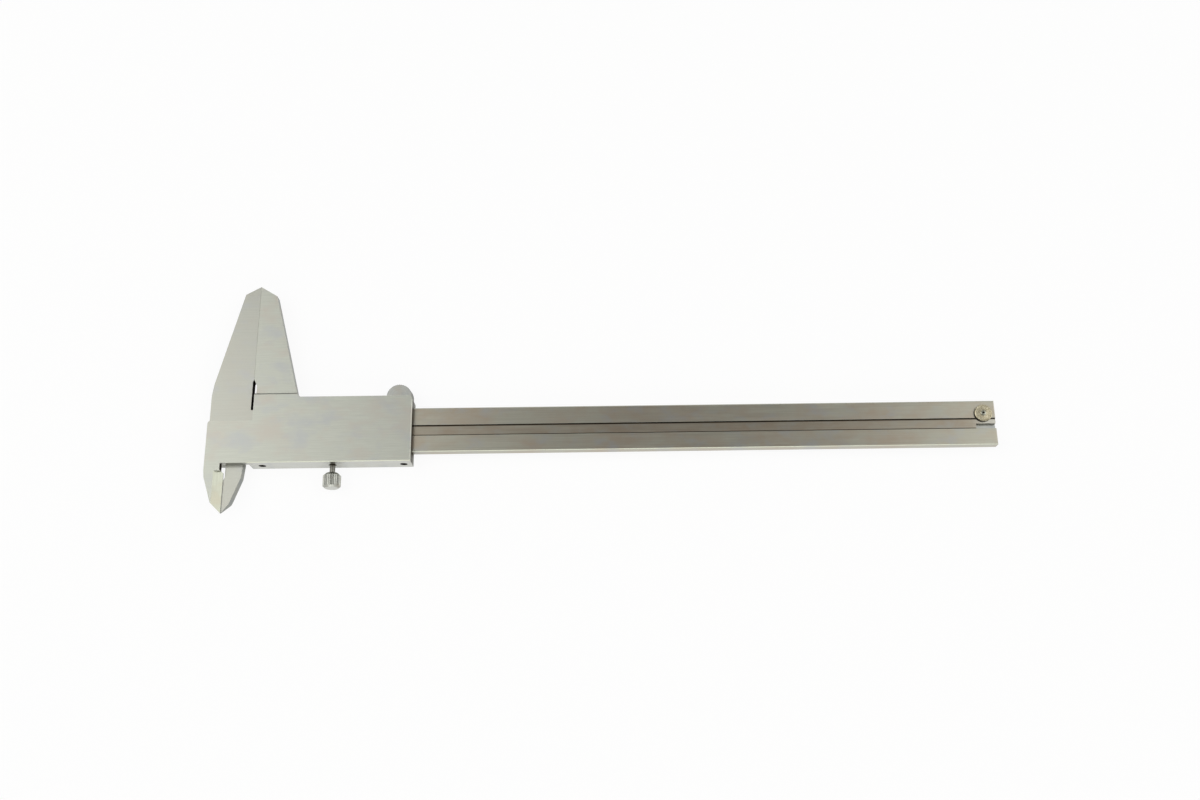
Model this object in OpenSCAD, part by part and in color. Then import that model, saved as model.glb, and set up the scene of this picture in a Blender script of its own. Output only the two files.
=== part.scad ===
// Vernier caliper, 0 to 200 mm, with thumb roller, depth rod and lock screw.
// It lies on its graduated front face with its plain back upwards. In the drawing frame
// X runs along the beam from the closed measuring faces, Y from the beam's lower edge
// towards the outside jaws, and Z from the front face of the slider towards the back.

/* [Beam] */
// Width of the beam
beam_w = 16.5; // [16:0.5:17]
// Thickness of the beam and of the outside jaws
beam_t = 3.6; // [3.5:0.1:3.8]
// Free travel of the slider up to the stop rivet
travel = 202; // [160:1:210]
// Beam beyond the centre of the stop rivet
end_margin = 4.4; // [4.3:0.1:6]
// Diameter of the stop rivet's head
stop_d = 6.3; // [6:0.1:7]

/* [Outside jaws] */
// Reach of the outside jaws beyond the beam
jaw_reach = 48.4; // [46:0.2:52]
// Width of the fixed head, left of the measuring faces
head_w = 15; // [14.8:0.1:16]
// Width of the moving jaw where it leaves the slider
jaw_root_w = 16.4; // [16:0.1:16.8]
// Depth of the relief in the moving jaw's root
root_relief = 1.15; // [0.8:0.05:1.2]

/* [Inside jaws] */
// Distance of the inside measuring edges to the left of the outside ones
inside_line = 8.3; // [8:0.1:8.6]
// Reach of the inside jaws below the beam
inside_reach = 21.8; // [21.4:0.1:23]
// Width of the hollow-ground knife bevels
bevel_w = 3; // [2.4:0.1:3.2]

/* [Slider] */
// Right end of the slider with the jaws closed
slider_end = 58.4; // [58.3:0.1:60]
// Height of the slider's lower rail, on the inside jaws' side
rail_low = 4.05; // [3.9:0.05:4.4]
// Height of the slider's upper rail, on the outside jaws' side
rail_high = 4.05; // [3.9:0.05:4.2]
// Thickness of the slider's front wall
front_t = 1.95; // [1.9:0.05:2.2]
// Thickness of the slider's back plate
plate_t = 2.75; // [2.5:0.05:3]
// Sliding clearance on each side of the beam
slide_gap = 0.05; // [0.03:0.01:0.08]
// Chamfer on the slider's long edges
edge_chamfer = 0.3; // [0.2:0.1:0.5]

/* [Depth rod] */
// Width of the depth rod
rod_w = 3.5; // [3.2:0.1:3.6]
// Thickness of the depth rod
rod_t = 1.4; // [1.2:0.1:1.4]
// Height of the rod's centre line above the beam's lower edge
rod_y = 7.94; // [7.8:0.02:8.2]
// Length of the half-width tip
tip_len = 7.1; // [6:0.1:8]

/* [Gib and lock screw] */
// Thread hole of the lock screw
lock_hole_d = 2.8; // [2.6:0.1:3]
// Thread holes of the two gib screws
gib_hole_d = 2.7; // [2.5:0.1:2.8]
// Thickness of the gib strip
gib_t = 0.84; // [0.7:0.02:0.86]
// Diameter of the lock screw's knurled head
knob_d = 6.4; // [6.2:0.1:7]
// Length of the knurled head
knob_len = 5.5; // [5:0.1:6.5]
// Bare neck between the slider and the knurled head
neck_len = 3.1; // [2.8:0.1:3.5]

/* [Thumb roller] */
// Radius of the drum that rolls on the beam's edge
drum_r = 4.6; // [4.5:0.1:4.7]
// Radius of the knurled front flange
flange_r = 4.8; // [4.7:0.1:4.9]
// Thickness of the spring arm that carries the roller
arm_t = 0.35; // [0.3:0.05:0.4]

/* [Vernier plates] */
// Beam edge to the metric vernier's reading edge
metric_line = 4.3; // [4:0.1:4.5]
// Beam edge to the inch vernier's reading edge
inch_line = 4.3; // [4:0.1:4.6]
// Thickness of the plates over their seats
seat_t = 1; // [0.9:0.05:1]

/* [Hidden] */
$fn = 48;
eps = 0.01;
cut = 1;               // how far a cutter runs past the surface it opens

STEEL = [0.68, 0.68, 0.65];
BEAM_STEEL = [0.55, 0.53, 0.49];
DARK_STEEL = [0.42, 0.40, 0.36];
BRONZE = [0.72, 0.55, 0.32];

// Heights in Z
beam_front = front_t + slide_gap;
beam_back = beam_front + beam_t;
plate_low = beam_back + slide_gap;
slider_top = plate_low + plate_t;
screw_z = beam_front + beam_t / 2;

// Outside jaws
tip_y = beam_w + jaw_reach;
jaw_gap = 0.02;        // the closed measuring faces, kept just apart
step_y = beam_w + 5.6; // where the thick slider steps down to its jaw
slot_top = beam_w + 11.7;

// Slider
rail_left = 0.5;
root_left = 1.2;
slider_bottom = -rail_low;
slider_back_y = beam_w + rail_high;
plate_left = -head_w + 0.2;
plate_y = beam_w - 4.8;
corner_r = 1.6;
step_chamfer = 0.6;    // on the back edge of the step down to the jaw
channel_low = -gib_t - 0.11;
channel_high = beam_w + slide_gap;

// Inside jaws
knife = 0.35;          // thickness left at each knife edge
knife_top = -6.8;      // where the knife bevels begin
tip_low = -inside_reach;

// Stop rivet
stop_gap = 0.75;       // left between the slider and the rivet at full travel
stop_x = slider_end + travel + stop_gap + stop_d / 2;
stop_y = 11.65;
stop_h = 1;
stop_shank_d = 2.4;
beam_reach = stop_x + end_margin;

// Depth rod
groove_w = rod_w + 0.4;
groove_y = rod_y - groove_w / 2 + 0.07; // the rod lies towards the lower side of its groove
groove_depth = 1.6;
tip_w = 0.52 * rod_w;  // width left at the rod's tip
rod_bottom = beam_back - groove_depth + 0.15;
rod_left = 8;
rod_root = 22;         // length that is raised to meet the back plate
rod_end = beam_reach - 0.2;
pin_xs = [14, 24];
pin_d = 1.2;

// Lock and gib screws
gib_xs = [4.8, 55.5];
gib_screw_len = 2.1;
lock_x = 30;
neck_d = 1.95;
pad_t = 0.8;
lock_free = 0.27;      // gap that the loosened screw leaves between pad and gib
pad_y = channel_low + 0.05 - lock_free;

// Thumb roller
roller_x = 53.1;
roller_y = beam_w + drum_r;
pocket_r = flange_r + 0.25;
pocket_mouth_y = beam_w + 3.2; // above it the pocket is open to the right
arm_low = 0.35;
flange_low = arm_low + arm_t + 0.05;
flange_high = beam_front - 0.1;
roller_top = plate_low - 0.15;
axle_d = 2;
bush_d = 3.2;
bore_top = roller_top - 0.25;
arm_root = [44.5, beam_w + 1.5];

// Vernier plates and the window they stand in
window_x = [4.5, 54.5];
vernier_x = [3, 56];
metric_y = beam_w - metric_line;
metric_w = 7.5;        // width of the metric plate, and beside the roller
metric_narrow_w = 3.1;
metric_wide_end = 40.5;
inch_w = 7.8;
nose_w = 2.2;          // part of each plate that stands in the window
plate_gap = 0.05;
seat_z = front_t - 0.75;
plate_screw_d = 1.4;
plate_screw_head_d = 2.4;
plate_screw_len = 3.7;
screw_hole_top = seat_z - seat_t + plate_screw_len + 0.2;
metric_screws = [[9, beam_w + 1.8], [35, beam_w + 1.8]];
inch_screws = [[12, -2.05], [47, -2.05]];

// Moves the drawing frame so that the caliper stands centred over its origin
module placed() translate([(head_w - beam_reach) / 2, (inside_reach - tip_y) / 2, 0]) children();

// Extrudes a Y-Z profile along X, or an X-Z profile along Y
module along_x(x0, x1) translate([x0, 0, 0]) rotate([90, 0, 90]) linear_extrude(x1 - x0) children();
module along_y(y0, y1) translate([0, y1, 0]) rotate([90, 0, 0]) linear_extrude(y1 - y0) children();

// A round bar or hole along Y
module bar_y(x, z, d, y0, y1) translate([x, y0, z]) rotate([-90, 0, 0]) cylinder(d = d, h = y1 - y0);

// A rim with n lands and V grooves
function knurled(r, depth, n, land) = [
    for (i = [0 : n - 1]) each [
        r * [cos(360 * (i - land / 2) / n), sin(360 * (i - land / 2) / n)],
        r * [cos(360 * (i + land / 2) / n), sin(360 * (i + land / 2) / n)],
        (r - depth) * [cos(360 * (i + 0.5) / n), sin(360 * (i + 0.5) / n)]
    ]
];

// Cuts a chamfer c at the corner of a profile: edge e, top at height z, outwards on side +1 or -1
module chamfer_profile(e, z, c, side) polygon([
    [e - side * (c + cut), z + cut], [e + side * cut, z - c - cut], [e + side * cut, z + cut]
]);
module long_chamfer(x0, x1, y, z, c, side) along_x(x0, x1) chamfer_profile(y, z, c, side);
module cross_chamfer(y0, y1, x, z, c) along_y(y0, y1) chamfer_profile(x, z, c, 1);

// Beam, fixed outside jaw and fixed inside jaw are one flat piece
module fixed_outline() polygon([
    [beam_reach, 0], [beam_reach, beam_w],
    [-0.4, beam_w], [-0.4, slot_top - 1], [0, slot_top],
    [0, tip_y], [-5.5, tip_y - 3.05], [-14.45, beam_w + 9.8], [-head_w, beam_w + 5.5],
    [-head_w, slider_bottom], [-inside_line + 0.45, slider_bottom],
    [-inside_line + 0.45, -8.7], [-inside_line, -9.6],
    [-inside_line, tip_low], [-5.6, tip_low + 3.6], [-2.1, -8.8], [-1.6, slider_bottom], [-1.6, 0]
]);

// Ground on the front, so that the knife edge lies at the back face
module fixed_knife_cuts() {
    along_y(beam_w + 22, tip_y + cut)
        polygon([[-2.4, beam_front - cut], [-2.4, beam_front], [0, beam_back - 1],
                 [cut, beam_back - 1], [cut, beam_front - cut]]);
    along_y(tip_low - cut, knife_top)
        polygon([[-inside_line + bevel_w, beam_front - cut], [-inside_line + bevel_w, beam_front],
                 [-inside_line, beam_back - knife], [-inside_line - cut, beam_back - knife],
                 [-inside_line - cut, beam_front - cut]]);
}

module beam() color(BEAM_STEEL) placed() difference() {
    translate([0, 0, beam_front]) linear_extrude(beam_t) fixed_outline();
    fixed_knife_cuts();
    translate([rod_left - 2, groove_y, beam_back - groove_depth])
        cube([beam_reach, groove_w, groove_depth + cut]);
    translate([stop_x, stop_y, beam_front - cut]) cylinder(d = stop_shank_d, h = beam_t + 2 * cut);
    long_chamfer(root_left, beam_reach + cut, beam_w, beam_back, 0.4, 1);
    long_chamfer(root_left, beam_reach + cut, 0, beam_back, 0.3, -1);
    cross_chamfer(-cut, beam_w + cut, beam_reach, beam_back, 0.35);
}

// Turned rivet that keeps the rod in its groove and stops the slider
module end_stop_rivet() color(DARK_STEEL) placed() translate([stop_x, stop_y, 0]) {
    translate([0, 0, beam_front + 0.1]) cylinder(d = stop_shank_d, h = beam_t);
    translate([0, 0, beam_back]) rotate_extrude() polygon([
        [0, 0], [stop_d / 2, 0], [stop_d / 2, stop_h - 0.35], [stop_d / 2 - 0.35, stop_h],
        [0.5, stop_h], [0, stop_h - 0.3]
    ]);
}

// The body of the slider, seen from the back
module slider_outline() {
    polygon([
        [rail_left, slider_bottom], [slider_end, slider_bottom],
        [slider_end, slider_back_y - corner_r], [slider_end - corner_r, slider_back_y],
        [jaw_root_w + 0.95, slider_back_y], [jaw_root_w + 0.15, step_y],
        [root_left, step_y], [root_left, plate_y - 1], [rail_left, plate_y - 1]
    ]);
    translate([slider_end - corner_r, slider_back_y - corner_r]) circle(corner_r);
}

// The back plate reaches over the fixed head and carries the moving inside jaw
module plate_outline() {
    polygon([
        [root_left + 1, plate_y], [plate_left + 1, plate_y], [plate_left, plate_y - 1],
        [plate_left, -6.5], [plate_left + 0.3, -9.3], [-inside_line - 3.3, tip_low + 3.4],
        [-inside_line, tip_low], [-inside_line, knife_top - 0.4], [-inside_line - 0.9, knife_top + 0.4],
        [-inside_line - 0.9, slider_bottom], [root_left + 1, slider_bottom]
    ]);
    translate([plate_left + 1, plate_y - 1]) circle(1);
}

module moving_jaw_outline() polygon([
    [root_relief, channel_high], [root_relief, slot_top - 2.4], [jaw_gap, slot_top],
    [jaw_gap, tip_y], [6.2, tip_y - 3.8], [jaw_root_w - 0.6, beam_w + 6.7],
    [jaw_root_w + 0.6, slider_back_y - 1], [jaw_root_w + 0.6, channel_high]
]);

module moving_knife_cuts() {
    along_y(beam_w + 22, tip_y + cut)
        polygon([[2.4, beam_front - cut], [2.4, beam_front], [jaw_gap, beam_back - 1],
                 [-cut, beam_back - 1], [-cut, beam_front - cut]]);
    along_y(tip_low - cut, knife_top)
        polygon([[-inside_line - bevel_w, slider_top + cut], [-inside_line - bevel_w, slider_top],
                 [-inside_line, plate_low + knife], [-inside_line + cut, plate_low + knife],
                 [-inside_line + cut, slider_top + cut]]);
}

// Room for the beam and the gib strip
module beam_channel()
    translate([-head_w - cut, channel_low, front_t])
        cube([slider_end + head_w + 2 * cut, channel_high - channel_low, plate_low - front_t]);

// Window over the scales, and the seats of the two vernier plates beside it
module front_window() {
    window_low = inch_line - nose_w - 2 * plate_gap;
    window_high = metric_y + nose_w + 2 * plate_gap;
    translate([window_x[0], window_low, -cut])
        cube([window_x[1] - window_x[0], window_high - window_low, front_t + 2 * cut]);
    translate([0, metric_y, 0]) vernier_seat(vernier_x[1], metric_narrow_w);
    translate([0, metric_y, 0]) vernier_seat(metric_wide_end + plate_gap, metric_w);
    translate([0, inch_line, 0]) mirror([0, 1, 0]) vernier_seat(vernier_x[1], inch_w);
}

module vernier_seat(x_end, w)
    translate([vernier_x[0], nose_w, -cut])
        cube([x_end - vernier_x[0], w + plate_gap - nose_w, seat_z + cut]);

// Open pocket of the thumb roller, and the shallow bed of its spring arm
module roller_pocket() {
    translate([roller_x, roller_y, -cut]) cylinder(r = pocket_r, h = plate_low + cut);
    translate([roller_x, pocket_mouth_y, -cut]) cube([pocket_r + cut, 2 * pocket_r, plate_low + cut]);
    translate([0, 0, -cut]) linear_extrude(arm_low + arm_t + cut) arm_outline(0.15);
}

module slider_holes() {
    for (x = gib_xs) bar_y(x, screw_z, gib_hole_d, slider_bottom - cut, channel_low + cut);
    bar_y(lock_x, screw_z, lock_hole_d, slider_bottom - cut, channel_low + cut);
    for (x = pin_xs) translate([x, rod_y, plate_low - cut]) cylinder(d = pin_d, h = cut + 1.4);
    for (p = concat(metric_screws, inch_screws, [arm_root]))
        translate([p[0], p[1], -cut]) cylinder(d = plate_screw_d, h = cut + screw_hole_top);
}

module slider_frame() color(STEEL) placed() difference() {
    union() {
        linear_extrude(slider_top) slider_outline();
        translate([0, 0, plate_low]) linear_extrude(plate_t) plate_outline();
        translate([0, 0, beam_front]) linear_extrude(beam_t) moving_jaw_outline();
    }
    beam_channel();
    moving_knife_cuts();
    front_window();
    roller_pocket();
    slider_holes();
    long_chamfer(0, slider_end + cut, slider_bottom, slider_top, edge_chamfer, -1);
    long_chamfer(0, jaw_root_w + cut, step_y, slider_top, step_chamfer, 1);
    long_chamfer(jaw_root_w + 1.2, slider_end - corner_r - 0.2, slider_back_y, slider_top, edge_chamfer, 1);
    cross_chamfer(slider_bottom - cut, slider_back_y - corner_r, slider_end, slider_top, edge_chamfer);
}

// Flat rod in the groove of the beam, with a half-width tip
module depth_rod() color(BEAM_STEEL) placed() difference() {
    union() {
        translate([rod_left, rod_y - rod_w / 2, rod_bottom]) cube([rod_end - rod_left, rod_w, rod_t]);
        translate([rod_left, rod_y - rod_w / 2, rod_bottom]) cube([rod_root, rod_w, plate_low - rod_bottom]);
    }
    translate([rod_end - tip_len, rod_y - rod_w / 2 - cut, rod_bottom - cut])
        cube([tip_len + cut, cut + rod_w - tip_w, rod_t + 2 * cut]);
    for (x = pin_xs) translate([x, rod_y, rod_bottom - cut]) cylinder(d = pin_d, h = beam_t);
}

module depth_rod_pins() color(DARK_STEEL) placed()
    for (x = pin_xs) translate([x, rod_y, rod_bottom]) cylinder(d = pin_d, h = plate_low + 1.4 - rod_bottom);

module gib_strip() color(BRONZE) placed()
    translate([rail_left + 1, -gib_t - 0.06, beam_front + 0.2])
        cube([slider_end - rail_left - 2, gib_t, beam_t - 0.4]);

// Slotted grub screw that bears on the gib strip
module gib_screw(x) placed() difference() {
    bar_y(x, screw_z, gib_hole_d - 0.04, channel_low - gib_screw_len, channel_low + 0.03);
    translate([x - 0.25, channel_low - gib_screw_len - cut, screw_z - gib_hole_d])
        cube([0.5, cut + 0.7, 2 * gib_hole_d]);
}
module gib_screw_left() color(DARK_STEEL) gib_screw(gib_xs[0]);
module gib_screw_right() color(DARK_STEEL) gib_screw(gib_xs[1]);

module lock_screw() color(STEEL) placed() {
    thread_end = pad_y - pad_t;
    knob_y = slider_bottom - neck_len;
    bar_y(lock_x, screw_z, lock_hole_d - 0.12, slider_bottom + 0.4, thread_end);
    bar_y(lock_x, screw_z, neck_d, knob_y - eps, slider_bottom + 0.4 + eps);
    translate([lock_x, knob_y, screw_z]) rotate([90, 0, 0]) intersection() {
        linear_extrude(knob_len) polygon(knurled(knob_d / 2, 0.2, 30, 0.35));
        rotate_extrude() polygon([
            [0, 0], [knob_d / 2 - 1.1, 0], [knob_d / 2, 1], [knob_d / 2, knob_len - 0.7],
            [knob_d / 2 - 0.8, knob_len], [0, knob_len]
        ]);
    }
}

// Bronze pad between the lock screw and the gib strip
module lock_pad() color(BRONZE) placed()
    bar_y(lock_x, screw_z, lock_hole_d - 0.2, pad_y - pad_t, pad_y);

// Stepped roller: the drum rolls on the beam's edge, the flange is for the thumb
module thumb_roller() color(DARK_STEEL) placed() translate([roller_x, roller_y, 0]) difference() {
    union() {
        translate([0, 0, flange_low]) linear_extrude(flange_high - flange_low)
            polygon(knurled(flange_r, 0.22, 44, 0.3));
        intersection() {
            translate([0, 0, flange_high - eps]) linear_extrude(roller_top - flange_high + eps)
                polygon(knurled(drum_r - 0.03, 0.2, 40, 0.3));
            rotate_extrude() polygon([
                [0, 0], [drum_r, 0], [drum_r, roller_top - 0.3], [drum_r - 0.3, roller_top], [0, roller_top]
            ]);
        }
    }
    translate([0, 0, flange_low - cut]) cylinder(d = bush_d, h = bore_top - flange_low + cut);
}

module roller_bush() color(BRONZE) placed() translate([roller_x, roller_y, flange_low]) difference() {
    cylinder(d = bush_d, h = bore_top - flange_low);
    translate([0, 0, -cut]) cylinder(d = axle_d + 0.06, h = bore_top + 2 * cut);
}

module roller_axle() color(STEEL) placed()
    translate([roller_x, roller_y, arm_low]) cylinder(d = axle_d, h = bore_top - 0.1 - arm_low);

// Spring arm, seen from the back: round ends joined by a straight strip
module arm_outline(grow = 0) {
    direction = [roller_x, roller_y] - arm_root;
    translate(arm_root) circle(1.8 + grow);
    translate([roller_x, roller_y]) circle(2.3 + grow);
    translate(arm_root) rotate(atan2(direction[1], direction[0]))
        translate([0, -1.5 - grow]) square([norm(direction), 3 + 2 * grow]);
}

module roller_arm() color(STEEL) placed() difference() {
    translate([0, 0, arm_low]) linear_extrude(arm_t) arm_outline();
    translate([roller_x, roller_y, -cut]) cylinder(d = axle_d, h = 3 * cut);
    translate([arm_root[0], arm_root[1], -cut]) cylinder(d = plate_screw_d, h = 3 * cut);
}

module roller_arm_screw() color(DARK_STEEL) placed() translate(arm_root) {
    translate([0, 0, arm_low]) cylinder(d = plate_screw_d, h = 3.2);
    difference() {
        translate([0, 0, 0.05]) cylinder(d = plate_screw_head_d, h = arm_low - 0.05);
        translate([-2, -0.2, -cut]) cube([4, 0.4, cut + 0.2]);
    }
}

// Vernier plate profile in Y-Z: the bevelled nose has its reading edge at y = 0,
// and the plate lies on its seat from the nose to its full width w
module vernier_profile(w) polygon([
    [0, beam_front - 0.1], [0, beam_front - 0.4], [2.6, seat_z - seat_t], [w, seat_z - seat_t],
    [w, seat_z], [nose_w, seat_z], [nose_w, beam_front - 0.1]
]);

module screw_seats(points) for (p = points) {
    translate([p[0], p[1], -cut]) cylinder(d = plate_screw_d, h = 3 * cut);
    translate([p[0], p[1], seat_z - seat_t])
        cylinder(d1 = plate_screw_head_d, d2 = plate_screw_d, h = 0.6);
}

module metric_vernier() color(STEEL) placed() difference() {
    translate([0, metric_y, 0]) {
        along_x(vernier_x[0] + plate_gap, metric_wide_end) vernier_profile(metric_w);
        along_x(metric_wide_end - 1, vernier_x[1] - plate_gap) vernier_profile(metric_narrow_w);
    }
    screw_seats(metric_screws);
    vernier_ends(metric_y - cut, metric_y + nose_w + plate_gap);
}

module inch_vernier() color(STEEL) placed() difference() {
    translate([0, inch_line, 0]) mirror([0, 1, 0])
        along_x(vernier_x[0] + plate_gap, vernier_x[1] - plate_gap) vernier_profile(inch_w);
    screw_seats(inch_screws);
    vernier_ends(inch_line - nose_w - plate_gap, inch_line + cut);
}

// Trims the nose of a plate to the length of the window
module vernier_ends(y0, y1)
    for (x = [[vernier_x[0] - cut, window_x[0] + plate_gap], [window_x[1] - plate_gap, vernier_x[1] + cut]])
        translate([x[0], y0, -cut]) cube([x[1] - x[0], y1 - y0, beam_front + 2 * cut]);

// Countersunk slotted screws, heads flush with the plates
module plate_screws(points) for (p = points) translate([p[0], p[1], seat_z - seat_t]) difference() {
    union() {
        cylinder(d1 = plate_screw_head_d, d2 = plate_screw_d, h = 0.6);
        cylinder(d = plate_screw_d, h = plate_screw_len);
    }
    translate([-2, -0.2, -cut]) cube([4, 0.4, cut + 0.3]);
}
module metric_vernier_screws() color(DARK_STEEL) placed() plate_screws(metric_screws);
module inch_vernier_screws() color(DARK_STEEL) placed() plate_screws(inch_screws);

beam();
end_stop_rivet();
slider_frame();
depth_rod();
depth_rod_pins();
gib_strip();
gib_screw_left();
gib_screw_right();
lock_screw();
lock_pad();
thumb_roller();
roller_bush();
roller_axle();
roller_arm();
roller_arm_screw();
metric_vernier();
inch_vernier();
metric_vernier_screws();
inch_vernier_screws();
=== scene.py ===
import bpy
from math import atan2, pi, radians
from mathutils import Matrix, Vector


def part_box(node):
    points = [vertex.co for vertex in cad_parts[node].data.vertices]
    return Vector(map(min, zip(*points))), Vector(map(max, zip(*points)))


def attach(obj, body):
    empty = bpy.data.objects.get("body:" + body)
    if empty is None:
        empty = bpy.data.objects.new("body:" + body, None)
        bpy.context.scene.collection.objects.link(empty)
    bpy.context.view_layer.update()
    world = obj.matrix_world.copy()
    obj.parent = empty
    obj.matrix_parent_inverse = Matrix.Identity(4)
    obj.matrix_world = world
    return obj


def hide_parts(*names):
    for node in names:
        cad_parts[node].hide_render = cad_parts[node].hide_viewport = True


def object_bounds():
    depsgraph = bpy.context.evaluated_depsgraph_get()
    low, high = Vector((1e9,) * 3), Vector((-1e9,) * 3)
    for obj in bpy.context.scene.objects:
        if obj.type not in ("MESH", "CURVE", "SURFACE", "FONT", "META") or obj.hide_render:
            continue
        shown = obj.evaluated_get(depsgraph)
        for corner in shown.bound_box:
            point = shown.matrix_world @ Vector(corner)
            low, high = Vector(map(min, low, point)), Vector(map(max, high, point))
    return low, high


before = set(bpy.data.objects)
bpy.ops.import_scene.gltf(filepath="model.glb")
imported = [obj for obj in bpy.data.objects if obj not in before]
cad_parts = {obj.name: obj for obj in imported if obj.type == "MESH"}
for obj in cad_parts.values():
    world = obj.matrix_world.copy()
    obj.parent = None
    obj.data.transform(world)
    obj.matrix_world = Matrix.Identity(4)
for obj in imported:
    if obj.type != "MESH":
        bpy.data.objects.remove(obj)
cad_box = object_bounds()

# Places that the pieces share, in metres: where the outside jaws meet, the beam's edge along the
# gib strip, and the beam's back
mm = 0.001
fixed_jaw_reach = 15 * mm
gib_clearance = 0.06 * mm
beam_low, beam_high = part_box("beam")
closed_x = beam_low[0] + fixed_jaw_reach
beam_edge_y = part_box("gib_strip")[1][1] + gib_clearance
back_z = beam_high[2]


# Turns an sRGB hex colour to linear
def hex_colour(code):
    parts = [int(code[i:i + 2], 16) / 255 for i in (0, 2, 4)]
    linear = [c / 12.92 if c <= 0.04045 else ((c + 0.055) / 1.055) ** 2.4 for c in parts]
    return (*linear, 1)


# Adds a node with its settings, links or fills its sockets, and gives its result
def add(tree, kind, settings, sockets, result=0):
    node = tree.nodes.new(kind)
    for name, value in settings.items():
        setattr(node, name, value)
    for name, value in sockets.items():
        if isinstance(value, bpy.types.NodeSocket):
            tree.links.new(value, node.inputs[name])
        else:
            node.inputs[name].default_value = value
    return node.outputs[result]


# A ground or turned metal: the grain runs between a dark and a light tone, with warmer patches
# where it has tarnished, cooler ones where it is bare, and a few bright scratches. The grain
# also sets the roughness and the bump. Its sizes are in millimetres along x, y and z. Real grain
# is too fine to show, so each is drawn coarser, 0.25 to 0.8 mm apart. Up to held_x the metal is
# barer and cooler, and beyond it the tarnish grows over held_fade. With turned_at, the grain runs
# in rings about that axis.
held_fade = 30 * mm


def ground_metal(name, dark, light, warm, cool, grain_mm, roughness, depth_mm, patch_mm=11,
                 held_x=None, turned_at=None):
    material = bpy.data.materials.new(name)
    material.use_nodes = True
    tree = material.node_tree
    shader = tree.nodes["Principled BSDF"]
    shader.inputs["Metallic"].default_value = 1
    place = add(tree, "ShaderNodeTexCoord", {}, {}, "Object")
    across_grain = place
    if turned_at is not None:
        from_axis = add(tree, "ShaderNodeVectorMath", {"operation": "SUBTRACT"},
                        {0: place, 1: (*turned_at, 0)})
        in_plane = add(tree, "ShaderNodeVectorMath", {"operation": "MULTIPLY"},
                       {0: from_axis, 1: (1, 1, 0)})
        radius = add(tree, "ShaderNodeVectorMath", {"operation": "LENGTH"}, {0: in_plane}, "Value")
        across_grain = add(tree, "ShaderNodeCombineXYZ", {}, {"Y": radius})

    scratch_mm = (2.6 * grain_mm[0], 0.7 * grain_mm[1], 0.7 * grain_mm[2])
    warm_mm = (patch_mm, 0.6 * patch_mm, patch_mm)
    cool_mm = (0.8 * patch_mm, 0.5 * patch_mm, 3 * patch_mm)
    patterns = []
    for source, size_mm, detail, rough in ((across_grain, grain_mm, 4, 0.6),
                                           (across_grain, scratch_mm, 2, 0.5),
                                           (place, warm_mm, 3, 0.6), (place, cool_mm, 3, 0.6)):
        scaled = add(tree, "ShaderNodeMapping", {},
                     {"Vector": source, "Scale": [1 / (size * mm) for size in size_mm]})
        patterns.append(add(tree, "ShaderNodeTexNoise", {}, {"Vector": scaled, "Scale": 1,
                                                             "Detail": detail, "Roughness": rough}))
    grain, scratches, warm_patches, cool_patches = patterns

    light_share = add(tree, "ShaderNodeMapRange", {},
                      {"Value": grain, "From Min": 0.3, "From Max": 0.7})
    cool_share = add(tree, "ShaderNodeMapRange", {},
                     {"Value": cool_patches, "From Min": 0.52, "From Max": 0.7, "To Max": 0.7})
    scratch_share = add(tree, "ShaderNodeMapRange", {},
                        {"Value": scratches, "From Min": 0.7, "From Max": 0.78, "To Max": 0.5})
    if held_x is None:
        warm_share = add(tree, "ShaderNodeMapRange", {},
                         {"Value": warm_patches, "From Min": 0.5, "From Max": 0.68, "To Max": 0.75})
        layers = [(light_share, light), (warm_share, warm), (cool_share, cool),
                  (scratch_share, light)]
    else:
        along = add(tree, "ShaderNodeSeparateXYZ", {}, {"Vector": place})
        tarnish = add(tree, "ShaderNodeMapRange", {},
                      {"Value": warm_patches, "From Min": 0.4, "From Max": 0.68,
                       "To Min": 0.2, "To Max": 0.8})
        growth = add(tree, "ShaderNodeMapRange", {},
                     {"Value": along, "From Min": held_x, "From Max": held_x + held_fade,
                      "To Min": 0.3, "To Max": 1})
        bare_share = add(tree, "ShaderNodeMapRange", {},
                         {"Value": along, "From Min": held_x, "From Max": held_x + held_fade,
                          "To Min": 0.35, "To Max": 0})
        warm_share = add(tree, "ShaderNodeMath", {"operation": "MULTIPLY"}, {0: tarnish, 1: growth})
        layers = [(light_share, light), (warm_share, warm), (cool_share, cool),
                  (scratch_share, light), (bare_share, cool)]
    colour = hex_colour(dark)
    for share, tone in layers:
        colour = add(tree, "ShaderNodeMix", {"data_type": "RGBA"},
                     {"Factor": share, 6: colour, 7: hex_colour(tone)}, 2)
    rough = add(tree, "ShaderNodeMapRange", {},
                {"Value": grain, "From Min": 0.25, "From Max": 0.75,
                 "To Min": roughness[0], "To Max": roughness[1]})
    bump = add(tree, "ShaderNodeBump", {},
               {"Height": grain, "Strength": 0.5, "Distance": depth_mm * mm})
    tree.links.new(colour, shader.inputs["Base Color"])
    tree.links.new(rough, shader.inputs["Roughness"])
    tree.links.new(bump, shader.inputs["Normal"])
    return material


# Ground stainless steel: the wheel's long fine lines, drawn 0.4 mm apart so that they show,
# greenish grey where bare, and browner along the bar where hands have tarnished it
held_from_x = closed_x + 30 * mm
ground_steel = ground_metal("ground_stainless_steel", "AAAB9D", "BCBDAF", "B0A290", "ADAEAC",
                            (24, 0.4, 0.4), (0.28, 0.38), 0.004, 11, held_from_x)
# Polished bevels: the same steel ground finer, so smoother and clearer in its reflections
polished_steel = ground_metal("polished_stainless_steel", "9D9F91", "AEB0A1", "A39F8E", "979A8F",
                              (0.4, 9, 9), (0.26, 0.34), 0.002)
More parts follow.
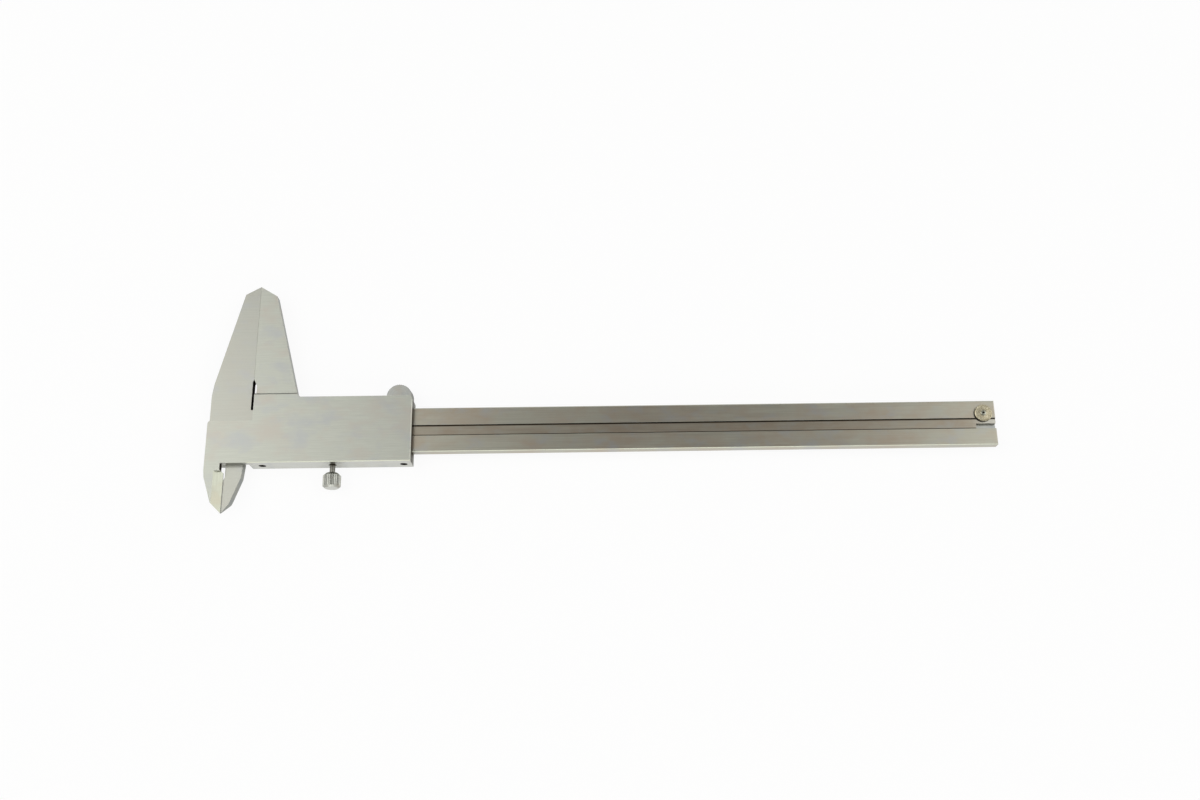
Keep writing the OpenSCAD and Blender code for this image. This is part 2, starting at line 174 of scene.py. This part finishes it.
# Milled sides: rougher and greyer, with the cutter's marks across them
milled_steel = ground_metal("milled_stainless_steel", "8C8E88", "9FA19A", "938D83", "888C8C",
                            (0.5, 0.5, 5), (0.4, 0.55), 0.006, 6)
# The groove's floor: milled along the bar, with painted light: paler than the bar, so that it
# looks lit down in the groove. The slider's upper and lower walls and the end of the lock screw's
# head get the same painted light, for the front lamp's light on them.
painted_light_milled_steel = ground_metal("milled_steel_painted_light", "BABBB4", "CACBC4", "BCBAB0", "B5B8B6",
                            (6, 0.5, 0.5), (0.3, 0.4), 0.003, 6)


# A dull film: a dark tone with paler spots, which are also rougher or smoother than the rest
def dull_film(name, dark, light, spot_mm, light_between, rough_between, roughness, specular):
    material = bpy.data.materials.new(name)
    material.use_nodes = True
    tree = material.node_tree
    shader = tree.nodes["Principled BSDF"]
    shader.inputs["Specular IOR Level"].default_value = specular
    place = add(tree, "ShaderNodeTexCoord", {}, {}, "Object")
    scaled = add(tree, "ShaderNodeMapping", {},
                 {"Vector": place, "Scale": [1 / (spot_mm * mm)] * 3})
    spots = add(tree, "ShaderNodeTexNoise", {},
                {"Vector": scaled, "Scale": 1, "Detail": 4, "Roughness": 0.6})
    share = add(tree, "ShaderNodeMapRange", {},
                {"Value": spots, "From Min": light_between[0], "From Max": light_between[1]})
    colour = add(tree, "ShaderNodeMix", {"data_type": "RGBA"},
                 {"Factor": share, 6: hex_colour(dark), 7: hex_colour(light)}, 2)
    rough = add(tree, "ShaderNodeMapRange", {},
                {"Value": spots, "From Min": rough_between[0], "From Max": rough_between[1],
                 "To Min": roughness[0], "To Max": roughness[1]})
    tree.links.new(colour, shader.inputs["Base Color"])
    tree.links.new(rough, shader.inputs["Roughness"])
    return material


# Painted shade: a nearly black colour put on corners, gaps, holes and recesses where shade falls,
# too dull to mirror the white card even at a low angle
painted_dark_shade = dull_film("painted_dark_shade", "100E0A", "2E271C", 1.2, (0.35, 0.7), (0.3, 0.7),
                      (0.85, 0.6), 0.15)


# Tints a finish near one place on an axis, such as with a line of painted shade along an edge
# where parts meet. The tint has its full share over the first part of its reach and fades to none
# at the end.
# The default tint: a dark brown painted shade
painted_shade_tint = "33291C"
full_part = 0.4


def tint_near(material, place_on_axis, reach_mm, share=0.92, axis=1, tint=painted_shade_tint):
    tree = material.node_tree
    shader = tree.nodes["Principled BSDF"]
    clean = shader.inputs["Base Color"].links[0].from_socket
    place = add(tree, "ShaderNodeTexCoord", {}, {}, "Object")
    on_axis = add(tree, "ShaderNodeSeparateXYZ", {}, {"Vector": place}, axis)
    past = add(tree, "ShaderNodeMath", {"operation": "SUBTRACT"}, {0: on_axis, 1: place_on_axis})
    away = add(tree, "ShaderNodeMath", {"operation": "ABSOLUTE"}, {0: past})
    near = add(tree, "ShaderNodeMapRange", {},
               {"Value": away, "From Min": full_part * reach_mm * mm, "From Max": reach_mm * mm,
                "To Min": share, "To Max": 0})
    colour = add(tree, "ShaderNodeMix", {"data_type": "RGBA"},
                 {"Factor": near, 6: clean, 7: hex_colour(tint)}, 2)
    tree.links.new(colour, shader.inputs["Base Color"])


# The fixed jaws are gripped most and a little duller, and the groove's floor is darker towards
# its open end, beside the rod's tip
tint_near(ground_steel, beam_low[0], 40, 0.18, 0, "8A8B84")
tint_near(painted_light_milled_steel, beam_high[0], 17, 0.2, 0, "6F716C")


# Copies a node's mesh, merges it, breaks its edges with a narrow bevel and puts it in the
# node's place
sharp_angle = radians(25)
flat_angle = radians(0.5)
merge_distance = 0.0005 * mm


def broken_edges(node, name, body, materials, width_mm=0.08, segments=2):
    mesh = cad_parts[node].data.copy()
    piece = bpy.data.objects.new(name, mesh)
    bpy.context.scene.collection.objects.link(piece)
    bpy.ops.object.select_all(action="DESELECT")
    piece.select_set(True)
    bpy.context.view_layer.objects.active = piece
    if mesh.has_custom_normals:
        bpy.ops.mesh.customdata_custom_splitnormals_clear()
    bpy.ops.object.mode_set(mode="EDIT")
    bpy.ops.mesh.select_all(action="SELECT")
    bpy.ops.mesh.remove_doubles(threshold=merge_distance)
    bpy.ops.mesh.dissolve_limited(angle_limit=flat_angle)
    bpy.ops.object.mode_set(mode="OBJECT")
    bpy.ops.object.shade_smooth_by_angle(angle=sharp_angle)
    bevel = piece.modifiers.new("broken_edges", "BEVEL")
    bevel.width = width_mm * mm
    bevel.segments = segments
    bevel.limit_method = "ANGLE"
    bevel.angle_limit = sharp_angle
    bevel.use_clamp_overlap = True
    bevel.harden_normals = True
    bpy.ops.object.modifier_apply(modifier=bevel.name)
    mesh.materials.clear()
    for material in materials:
        mesh.materials.append(material)
    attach(piece, body)
    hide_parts(node)
    return piece


# Gives a finish to the faces that belong, by a face's middle and by the way it faces, which is
# 1 along an axis that it is square to and 0 along one that it is parallel to
def finish_faces(piece, finish, belongs):
    index = list(piece.data.materials).index(finish)
    for face in piece.data.polygons:
        if belongs(face.center, face.normal):
            face.material_index = index


inside_bevels_y = beam_edge_y - 6 * mm
outside_bevels_y = beam_edge_y + 38 * mm
seam_half = 0.5 * mm
relief_x = (closed_x - 0.6 * mm, closed_x + 1.3 * mm)
relief_y = (beam_edge_y + 16 * mm, beam_edge_y + 28.3 * mm)
groove_y = (beam_edge_y + 5 * mm, beam_edge_y + 11 * mm)
groove_z = (back_z - 1.7 * mm, back_z - 0.01 * mm)


def on_knife_bevel(at, facing):
    on_jaw = not inside_bevels_y < at.y < outside_bevels_y
    return on_jaw and abs(facing.x) > 0.25 and abs(facing.z) > 0.25 and abs(facing.y) < 0.1


def on_milled_side(at, facing):
    on_seam = -seam_half < at.x - closed_x < seam_half
    return abs(facing.x) > 0.6 and abs(facing.z) < 0.1 and not on_seam


def in_relief(at, facing):
    beside_seam = relief_x[0] < at.x < relief_x[1]
    return abs(facing.x) > 0.8 and beside_seam and relief_y[0] < at.y < relief_y[1]


def in_rod_groove(at):
    return groove_z[0] < at.z < groove_z[1] and groove_y[0] < at.y < groove_y[1]


# Beam with its two fixed jaws: one bar of hardened stainless steel, surface ground along its
# length, then lightly satined. Its edges are broken with a stone, so they catch a thin line of
# light. Its sides and its groove are left as milled, and the jaws' knife edges are polished last.
beam = broken_edges("beam", "beam_ground", "beam",
                    (ground_steel, polished_steel, milled_steel, painted_dark_shade, painted_light_milled_steel))
finish_faces(beam, polished_steel, lambda at, facing: abs(facing.y) > 0.3 and abs(facing.z) > 0.3)
finish_faces(beam, polished_steel, on_knife_bevel)
finish_faces(beam, milled_steel, on_milled_side)
# Painted light: the groove's floor is paler, so that it looks lit
finish_faces(beam, painted_light_milled_steel, lambda at, facing: in_rod_groove(at) and facing.z > 0.9)
# Painted shade: the groove's side walls and the relief's walls beside the jaws' seam are nearly
# black, for the shade in these narrow gaps
finish_faces(beam, painted_dark_shade, lambda at, facing: in_rod_groove(at) and abs(facing.y) > 0.3)
finish_faces(beam, painted_dark_shade, in_relief)

# Main scales: lines and figures engraved in the beam's front face and filled with black wax.
# The metric one reads in millimetres along the lower edge of the window, the inch one in
# fortieths along its upper edge.
inch = 25.4 * mm
scale_zero_x = closed_x + 5 * mm
metric_edge_y = beam_edge_y + 12.2 * mm
inch_edge_y = beam_edge_y + 4.3 * mm
front_z = beam_low[2]
fill_proud = 0.01 * mm
figure_share = 0.7

# Black engraver's wax: matt, rubbed greyer where the slider has worn it
engraving_fill = dull_film("black_engraving_wax", "1A1A19", "45433F", 1.5, (0.45, 0.75),
                           (0.4, 0.8), (0.45, 0.7), 0.5)


# A flat drawing's place on a face seen from the front, at y and z and leaned about x
def face_seen_from_front(y, z, lean=0):
    return Matrix.Translation((0, y, z)) @ Matrix.Rotation(pi + lean, 4, "X")


# A row of lines from first_x on, one at each step, each of them from low to high
def lines(surface, first_x, step, count, low, high, width_mm=0.12):
    bpy.ops.object.select_all(action="DESELECT")
    bpy.ops.mesh.primitive_cube_add(size=1, location=(first_x, (low + high) / 2, 0),
                                    scale=(width_mm * mm, abs(high - low), 2 * fill_proud))
    line = bpy.context.object
    bpy.ops.object.transform_apply(location=True, rotation=False, scale=True)
    row = line.modifiers.new("row", "ARRAY")
    row.count = count
    row.use_relative_offset = False
    row.use_constant_offset = True
    row.constant_offset_displace = (step, 0, 0)
    bpy.ops.object.modifier_apply(modifier=row.name)
    line.matrix_world = surface
    bpy.ops.object.transform_apply(location=True, rotation=True, scale=False)
    return line


# One figure, centred on x, with its foot at low. The type's size is larger than its figures.
def figure(surface, words, x, low, height):
    bpy.ops.object.select_all(action="DESELECT")
    bpy.ops.object.text_add(location=(0, 0, 0))
    text = bpy.context.object
    text.data.body = words
    text.data.size = height / figure_share
    text.data.align_x = "CENTER"
    text.data.resolution_u = 2
    text.data.extrude = fill_proud
    bpy.ops.object.convert(target="MESH")
    text.matrix_world = surface @ Matrix.Translation((x, low, 0))
    bpy.ops.object.transform_apply(location=True, rotation=True, scale=False)
    return text


def engraved(name, parts, body):
    bpy.ops.object.select_all(action="DESELECT")
    for part in parts:
        part.select_set(True)
    bpy.context.view_layer.objects.active = parts[0]
    bpy.ops.object.join()
    piece = bpy.context.object
    piece.name = name
    piece.data.materials.clear()
    piece.data.materials.append(engraving_fill)
    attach(piece, body)
    return piece


metric_face = face_seen_from_front(metric_edge_y, front_z)
inch_face = face_seen_from_front(inch_edge_y, front_z)
metric_marks = [
    lines(metric_face, scale_zero_x, 1 * mm, 251, -0.3 * mm, 1.3 * mm),
    lines(metric_face, scale_zero_x, 5 * mm, 51, 1.3 * mm, 1.75 * mm),
    lines(metric_face, scale_zero_x, 10 * mm, 26, 1.75 * mm, 2.2 * mm),
]
for centimetre in range(26):
    metric_marks.append(figure(metric_face, str(centimetre),
                               scale_zero_x + 10 * centimetre * mm, 2.4 * mm, 1.3 * mm))
engraved("metric_main_scale", metric_marks, "beam")

# The finer scales' lines are narrower, in millimetres
fine_line = 0.1
inch_marks = [
    lines(inch_face, scale_zero_x, inch / 40, 381, -1.1 * mm, 0.3 * mm, fine_line),
    lines(inch_face, scale_zero_x, inch / 10, 96, -1.5 * mm, -1.1 * mm, fine_line),
    lines(inch_face, scale_zero_x, inch, 10, -2.1 * mm, -1.5 * mm),
]
for tenth in range(95):
    whole, part = divmod(tenth, 10)
    tenth_x = scale_zero_x + tenth * inch / 10
    if part:
        inch_marks.append(figure(inch_face, str(part), tenth_x, -2.5 * mm, 0.75 * mm))
    else:
        inch_marks.append(figure(inch_face, str(whole), tenth_x + 1.1 * mm, -3.6 * mm, 1.3 * mm))
engraved("inch_main_scale", inch_marks, "beam")

# Stop rivet: a turned steel rivet whose shank fills a hole in the beam. Its low domed head is
# tarnished brown, with the tool's rings and the centre's burr still on it, and it keeps the
# slider and the rod from running out.
stop_low, stop_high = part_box("end_stop_rivet")
stop_r = (stop_high[0] - stop_low[0]) / 2
stop_x, stop_y = stop_low[0] + stop_r, stop_low[1] + stop_r
head_height = stop_high[2] - back_z
shank_r, boss_r, dimple_r = 1.2 * mm, 0.95 * mm, 0.22 * mm
tarnished_steel = ground_metal("tarnished_turned_steel", "766C50", "E6DEC2", "958A6C", "ADA78E",
                               (0.3, 0.3, 0.3), (0.28, 0.45), 0.008, 1.0)

bpy.ops.object.select_all(action="DESELECT")
bpy.ops.mesh.primitive_cylinder_add(vertices=64, radius=stop_r, depth=head_height,
                                    location=(stop_x, stop_y, back_z + head_height / 2))
rivet = bpy.context.object
rivet.name = "stop_rivet_turned"
bpy.ops.object.transform_apply(location=True, rotation=False, scale=False)


def select_faces(piece, belongs):
    bpy.ops.object.mode_set(mode="EDIT")
    bpy.ops.mesh.select_mode(type="FACE")
    bpy.ops.mesh.select_all(action="DESELECT")
    bpy.ops.object.mode_set(mode="OBJECT")
    for face in piece.data.polygons:
        face.select = belongs(face.center, face.normal)
    bpy.ops.object.mode_set(mode="EDIT")


select_faces(rivet, lambda at, facing: facing.z < -0.9)
bpy.ops.mesh.inset(thickness=stop_r - shank_r, depth=0)
bpy.ops.mesh.extrude_region_move(TRANSFORM_OT_translate={"value": (0, 0, stop_low[2] - back_z)})
# From the rim to the centre, by width and rise: the rounded rim, four rings, and then a fine
# groove, the boss's slope, its flat top and the dimple
rim_drop = 0.32 * mm
rim = [(0.3 * mm, 0.16 * mm)]
ring = [(0.22 * mm, -0.05 * mm), (0.22 * mm, 0.07 * mm)]
boss = [(0.1 * mm, -0.04 * mm), (0.25 * mm, 0.17 * mm), (0.3 * mm, 0), (0.12 * mm, -0.2 * mm)]
select_faces(rivet, lambda at, facing: facing.z > 0.9)
bpy.ops.transform.translate(value=(0, 0, -rim_drop))
for width, rise in rim + 4 * ring + boss:
    bpy.ops.mesh.inset(thickness=width, depth=rise)
bpy.ops.object.mode_set(mode="OBJECT")
bpy.ops.object.shade_smooth_by_angle(angle=radians(35))
for material in (tarnished_steel, painted_dark_shade, polished_steel):
    rivet.data.materials.append(material)


def on_head_within(at, radius):
    from_axis = ((at.x - stop_x) ** 2 + (at.y - stop_y) ** 2) ** 0.5
    return at.z > back_z and from_axis < radius


# Painted shade: the head's short side wall is nearly black, for the shade under its rim, and so is
# the dimple in its centre
finish_faces(rivet, painted_dark_shade, lambda at, facing: abs(facing.z) < 0.1 and at.z > back_z)
finish_faces(rivet, polished_steel, lambda at, facing: on_head_within(at, boss_r))
finish_faces(rivet, painted_dark_shade, lambda at, facing: on_head_within(at, dimple_r))
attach(rivet, "beam")
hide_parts("end_stop_rivet")

# Slider: rails, back plate, moving outside jaw and moving inside jaw are one steel part,
# finished with a fine satin grind, a shade paler and greener than the beam's. The moving
# inside jaw's knife bevel is ground on its back and polished, and its sides are as milled.
satin_steel = ground_metal("satin_ground_steel", "B6B8AD", "C3C5BA", "BDB7AC", "B4B6B5",
                           (10, 0.35, 0.35), (0.38, 0.46), 0.003, 14)
# Its right end: milled, with painted shade: darker for the dark beam it mirrors, and darkest by the
# beam's back, for the shade where the slider meets the beam
end_steel_painted_shade = ground_metal("end_milled_steel_painted_shade", "66655B", "7C7B71", "5C574B", "6D6E69",
                         (0.5, 0.5, 5), (0.4, 0.55), 0.006, 4)
tint_near(end_steel_painted_shade, back_z, 1.8, axis=2)
slider_end_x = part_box("slider_frame")[1][0]
jaw_right_x = closed_x + 14 * mm
slider = broken_edges("slider_frame", "slider_satin", "slider",
                      (satin_steel, polished_steel, milled_steel, painted_dark_shade, painted_light_milled_steel,
                       end_steel_painted_shade))


def in_inside_jaws_gap(at, facing):
    return facing.x > 0.9 and at.x < closed_x - 1 * mm and at.y < beam_edge_y


def on_right_end(at, facing):
    return facing.x > 0.9 and at.x > slider_end_x - 0.5 * mm


def on_jaw_step(at, facing):
    return facing.y > 0.5 and facing.z > 0.5 and at.x < jaw_right_x


# Painted light: the walls facing along y are paler, for the front lamp's light
finish_faces(slider, painted_light_milled_steel, lambda at, facing: abs(facing.y) > 0.9)
finish_faces(slider, polished_steel, lambda at, facing: facing.y < -0.5 and facing.z > 0.5)
finish_faces(slider, polished_steel, on_knife_bevel)
finish_faces(slider, milled_steel, on_milled_side)
# Painted shade: the relief and the walls in the gap between the inside jaws are nearly black, for
# the shade in these narrow gaps
finish_faces(slider, painted_dark_shade, in_relief)
finish_faces(slider, painted_dark_shade, in_inside_jaws_gap)
# Painted shade: the right end is dark, for its shade and dark reflection
finish_faces(slider, end_steel_painted_shade, on_right_end)
# Painted shade: the bevel along the step behind the moving jaw takes the darker milled finish, to
# draw the thin shadow line along the step
finish_faces(slider, milled_steel, on_jaw_step)

# Vernier plates: satin-chromed steel, screwed into the front of the slider with their bevelled
# noses over the main scales. The metric one has 50 divisions on 49 mm, the inch one 25 on
# 1.225 inch.
# Satin chrome: the palest metal here, even and nearly without grain, so that the lines stand out
satin_chrome = ground_metal("satin_chrome", "BCBDBA", "C6C7C4", "BEBAB2", "B6B8B8",
                            (0.5, 0.3, 0.3), (0.34, 0.4), 0.002, 16)
for node in ("metric_vernier", "inch_vernier"):
    broken_edges(node, node + "_chromed", "slider", (satin_chrome,), 0.05, 1)
nose_rise_mm, nose_run_mm, nose_edge_mm = 1.4, 2.6, 0.4
nose_lean = atan2(nose_rise_mm, nose_run_mm)
nose_z = front_z - nose_edge_mm * mm
metric_nose = face_seen_from_front(metric_edge_y, nose_z, -nose_lean)
inch_nose = face_seen_from_front(inch_edge_y, nose_z, nose_lean)
metric_division = 0.98 * mm
inch_division = 49 * inch / 40 / 25

metric_vernier_marks = [
    lines(metric_nose, scale_zero_x, metric_division, 51, -1.2 * mm, -0.05 * mm, fine_line),
    lines(metric_nose, scale_zero_x, 5 * metric_division, 11, -1.6 * mm, -1.2 * mm, fine_line),
]
for tenth in range(11):
    tenth_x = scale_zero_x + 5 * tenth * metric_division
    metric_vernier_marks.append(figure(metric_nose, str(tenth), tenth_x, -2.65 * mm, 0.9 * mm))
engraved("metric_vernier_scale", metric_vernier_marks, "slider")

inch_vernier_marks = [
    lines(inch_nose, scale_zero_x, inch_division, 26, 0.05 * mm, 1.2 * mm, fine_line),
    lines(inch_nose, scale_zero_x, 5 * inch_division, 6, 1.2 * mm, 1.6 * mm, fine_line),
]
for fifth in range(6):
    fifth_x = scale_zero_x + 5 * fifth * inch_division
    inch_vernier_marks.append(figure(inch_nose, str(5 * fifth), fifth_x, 1.75 * mm, 0.9 * mm))
engraved("inch_vernier_scale", inch_vernier_marks, "slider")

# Depth rod: a flat ground strip pinned to the slider, that slides in the beam's groove. It is
# handled less than the bar, so its tarnish is more even.
rod_steel = ground_metal("rod_ground_steel", "9B9688", "AFAA9A", "9F9180", "A2A198",
                         (20, 0.4, 0.4), (0.28, 0.38), 0.003, 9, held_from_x)
rod_low, rod_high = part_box("depth_rod")
rod_edge = 0.1 * mm
# The tip is paler over its last few millimetres
tint_near(rod_steel, rod_high[0], 8.5, 0.6, 0, "D2D2C8")
# Painted shade: the rod's two edges are darkened, the upper one more, for the shade in the narrow
# gaps between the rod and the groove's walls
tint_near(rod_steel, rod_high[1], 0.45)
tint_near(rod_steel, rod_low[1], 0.2, 0.7)


def on_rod_edge(at, facing):
    return abs(facing.y) > 0.3 and not rod_low[1] + rod_edge < at.y < rod_high[1] - rod_edge


rod = broken_edges("depth_rod", "depth_rod_ground", "slider",
                   (rod_steel, painted_dark_shade), 0.04, 1)
# Painted shade: the rod's edge bevels are nearly black, for the gap's shade
finish_faces(rod, painted_dark_shade, on_rod_edge)

# Lock screw with a straight-knurled head, and the small slotted screws: turned stainless steel,
# its fine turning marks 0.25 mm apart. The screw's neck and the gib screws, deep in their holes,
# get a darker copy of it, painted shade for the shade they sit in.
turned_steel = ground_metal("turned_stainless_steel", "A0A199", "B4B5AD", "A39D90", "9A9C97",
                            (0.6, 0.25, 0.25), (0.28, 0.4), 0.003, 3)
painted_shade_screw_steel = ground_metal("screw_steel_painted_shade", "74736B", "8D8C84", "645F53", "7A7B77",
                             (0.6, 0.25, 0.25), (0.3, 0.45), 0.003, 3)
knob_length, neck_length = 5.5 * mm, 3.5 * mm
neck_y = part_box("lock_screw")[0][1] + knob_length
# Painted shade: darker still round the neck where it goes into the slider's wall
tint_near(painted_shade_screw_steel, neck_y + neck_length, 1.1)
lock_screw = broken_edges("lock_screw", "lock_screw_turned", "lock_screw",
                          (turned_steel, painted_shade_screw_steel, painted_light_milled_steel), 0.05, 1)
finish_faces(lock_screw, painted_shade_screw_steel, lambda at, facing: at.y > neck_y + 0.1 * mm)
# Painted light: the head's end face is paler, for the front lamp's light
finish_faces(lock_screw, painted_light_milled_steel, lambda at, facing: facing.y < -0.9)


def finish_node(name, finish):
    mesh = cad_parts[name].data
    mesh.materials.clear()
    mesh.materials.append(finish)


for name in ("depth_rod_pins", "roller_axle", "roller_arm_screw", "metric_vernier_screws",
             "inch_vernier_screws"):
    finish_node(name, turned_steel)
# Painted shade: the gib screws' holes are nearly black all the way in, for the shade inside them
hole_margin, hole_low_z, hole_high_z = 0.4 * mm, 1 * mm, 7.5 * mm
for name in ("gib_screw_left", "gib_screw_right"):
    finish_node(name, painted_shade_screw_steel)
    screw_low, screw_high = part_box(name)
    finish_faces(slider, painted_dark_shade, lambda at, facing: abs(facing.y) < 0.3
                 and screw_low[0] - hole_margin < at.x < screw_high[0] + hole_margin
                 and at.y < screw_high[1] and hole_low_z < at.z < hole_high_z)

# Thumb roller: turned steel, its rims finely knurled for the thumb. It turns on a bronze bush on
# its axle, and rolls along the beam's edge as the thumb moves the slider.
roller_low, roller_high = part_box("thumb_roller")
roller_axis = [(roller_low[i] + roller_high[i]) / 2 for i in (0, 1)]
# Its faces show the lathe's rings, 0.3 mm apart, and its knurls are darker, as milled
knurled_steel = ground_metal("knurled_steel", "AAABA5", "C4C5BF", "B3AEA2", "A9ACA9",
                             (1, 0.3, 1), (0.3, 0.4), 0.003, 4, turned_at=roller_axis)
roller = broken_edges("thumb_roller", "thumb_roller_turned", "roller",
                      (knurled_steel, milled_steel), 0.03, 1)
finish_faces(roller, milled_steel, lambda at, facing: abs(facing.z) < 0.9)

# Spring arm: a hard-rolled steel strip, smooth and a little blue, screwed to the slider. It
# carries the roller's axle and presses the roller on the beam.
spring_strip = ground_metal("rolled_spring_steel", "8E9296", "9CA0A3", "98958E", "868C93",
                            (6, 0.8, 0.8), (0.22, 0.3), 0.001, 5)
finish_node("roller_arm", spring_strip)

# Gib strip, lock pad and roller bush: bronze, which rubs on steel without scoring it, and is
# dull where oil has darkened it. The gib screws press the strip, and the lock screw the pad.
bronze = ground_metal("bronze", "9E7A4A", "B58F5C", "80603A", "94734A",
                      (3, 0.3, 0.3), (0.3, 0.45), 0.003)
for name in ("gib_strip", "lock_pad", "roller_bush"):
    finish_node(name, bronze)

# Camera, where the photograph was taken: 0.44 m above the caliper and a little towards the
# inside jaws' side, looking down at it at 71.5 degrees
camera_data = bpy.data.cameras.new("camera")
camera_data.sensor_fit = "HORIZONTAL"
camera_data.sensor_width = 36
camera_data.lens = 38.229
camera_data.clip_start = 0.01
camera = bpy.data.objects.new("camera", camera_data)
bpy.context.scene.collection.objects.link(camera)
camera.location = (-1.331 * mm, -149.88 * mm, 443.93 * mm)
camera.rotation_euler = (radians(18.534), radians(0.168), radians(-0.723))
bpy.context.scene.camera = camera

# Floor: a sheet of white card that turns up along its edges. To the camera and in the metal's
# reflections it is plain white, as in the photograph, apart from a light shadow under the
# caliper and the dark in its narrow gaps.
card_size, card_turn, card_rise = 6, 0.9, 1.6
floor_z = cad_box[0][2] - 0.05 * mm
bpy.ops.object.select_all(action="DESELECT")
bpy.ops.mesh.primitive_plane_add(size=card_size, location=(0, 0, floor_z))
floor = bpy.context.object
floor.name = "floor"
bpy.ops.object.mode_set(mode="EDIT")
bpy.ops.mesh.select_mode(type="EDGE")
bpy.ops.mesh.select_all(action="SELECT")
bpy.ops.mesh.extrude_edges_move(TRANSFORM_OT_translate={"value": (0, 0, card_rise)})
bpy.ops.object.mode_set(mode="OBJECT")
for edge in floor.data.edges:
    edge.select = all(floor.data.vertices[v].co.z < card_rise / 2 for v in edge.vertices)
bpy.ops.object.mode_set(mode="EDIT")
bpy.ops.mesh.bevel(offset=card_turn, segments=12, affect="EDGES")
bpy.ops.object.mode_set(mode="OBJECT")
bpy.ops.object.shade_smooth()

# White card: matt, lit by the lamps, which gives the shadow. The camera and the metal see it
# mostly as an even white, and the metal sees less of that in gaps narrower than gap_reach.
seen_white = 0.92
gap_reach = 12 * mm
card = bpy.data.materials.new("white_card")
card.use_nodes = True
tree = card.node_tree
shader = tree.nodes["Principled BSDF"]
shader.inputs["Base Color"].default_value = hex_colour("FAFAF8")
shader.inputs["Roughness"].default_value = 0.9
ray = add(tree, "ShaderNodeLightPath", {}, {}).node.outputs
openness = add(tree, "ShaderNodeAmbientOcclusion", {"samples": 6}, {"Distance": gap_reach}, "AO")
open_card = add(tree, "ShaderNodeMapRange", {},
                {"Value": openness, "From Min": 0.12, "From Max": 0.4})
mirrored = add(tree, "ShaderNodeMath", {"operation": "MULTIPLY"},
               {0: ray["Is Glossy Ray"], 1: open_card})
looked_at = add(tree, "ShaderNodeMath", {"operation": "MAXIMUM"},
                {0: ray["Is Camera Ray"], 1: ray["Is Transmission Ray"]})
seen = add(tree, "ShaderNodeMath", {"operation": "MULTIPLY"}, {0: looked_at, 1: seen_white})
share = add(tree, "ShaderNodeMath", {"operation": "MAXIMUM"}, {0: seen, 1: mirrored})
white = add(tree, "ShaderNodeEmission", {}, {"Color": (1, 1, 1, 1), "Strength": 1})
surface = add(tree, "ShaderNodeMixShader", {}, {0: share, 1: shader.outputs[0], 2: white})
tree.links.new(surface, tree.nodes["Material Output"].inputs["Surface"])
floor.data.materials.append(card)

# Studio light: a soft room and a softbox on each side, whose reflections brighten both ends of
# the caliper and leave its middle darker, and a low one in front for the edges
world = bpy.data.worlds.new("studio")
bpy.context.scene.world = world
world.use_nodes = True
background = world.node_tree.nodes["Background"]
background.inputs["Color"].default_value = (1, 1, 1, 1)
background.inputs["Strength"].default_value = 0.3


def softbox(name, place, size, power):
    data = bpy.data.lights.new(name, "AREA")
    data.shape = "RECTANGLE"
    data.size, data.size_y = size
    data.energy = power
    lamp = bpy.data.objects.new(name, data)
    bpy.context.scene.collection.objects.link(lamp)
    lamp.location = place
    lamp.rotation_euler = (-Vector(place)).to_track_quat("-Z", "Y").to_euler()


softbox("left_softbox", (-0.8, 0.16, 0.9), (1.0, 1.2), 6)
softbox("right_softbox", (0.96, 0.1, 0.9), (1.0, 1.2), 6)
softbox("front_softbox", (0, -1.1, 0.5), (1.8, 0.9), 6)

bpy.context.scene.view_settings.view_transform = "Standard"
